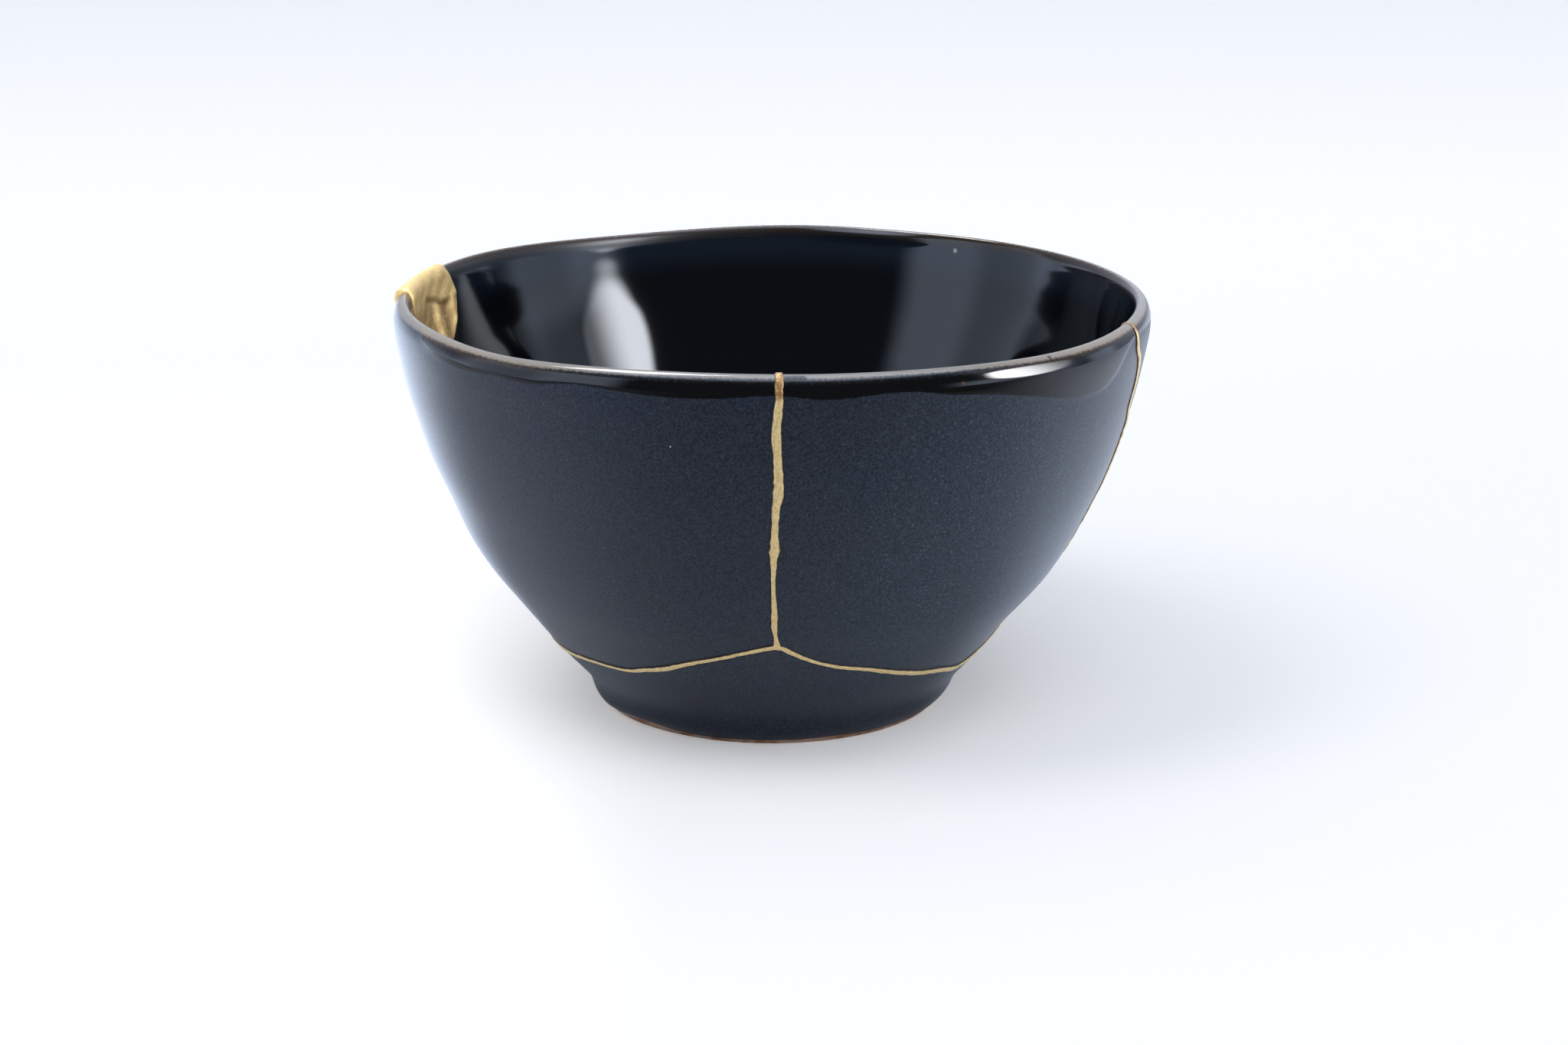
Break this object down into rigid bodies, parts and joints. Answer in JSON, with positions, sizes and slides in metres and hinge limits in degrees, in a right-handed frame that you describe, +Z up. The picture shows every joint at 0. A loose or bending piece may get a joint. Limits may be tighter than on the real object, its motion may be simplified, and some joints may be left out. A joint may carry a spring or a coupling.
{
  "type": "kintsugi bowl",
  "caption": "Hand-formed dark glazed bowl on a foot ring, broken and mended with raised gold lacquer seams and a gold fill in the rim.",
  "frame": {"origin": "middle of the foot ring's underside, on the surface that the bowl stands on", "axes": "+Z up along the bowl's axis; -Y towards the front, where the upright gold seam is; +X to the right seen from the front"},
  "size_m": [0.1516, 0.1513, 0.0847],
  "materials": {
    "dark_glaze": "satin",
    "gold_lacquer": "satin"
  },
  "bodies": {
    "root": {"base_shard": "dark_glaze", "left_wall_shard": "dark_glaze", "right_wall_shard": "dark_glaze", "gold_seams": "gold_lacquer", "rim_gold_fill": "gold_lacquer"}
  },
  "joints": []
}
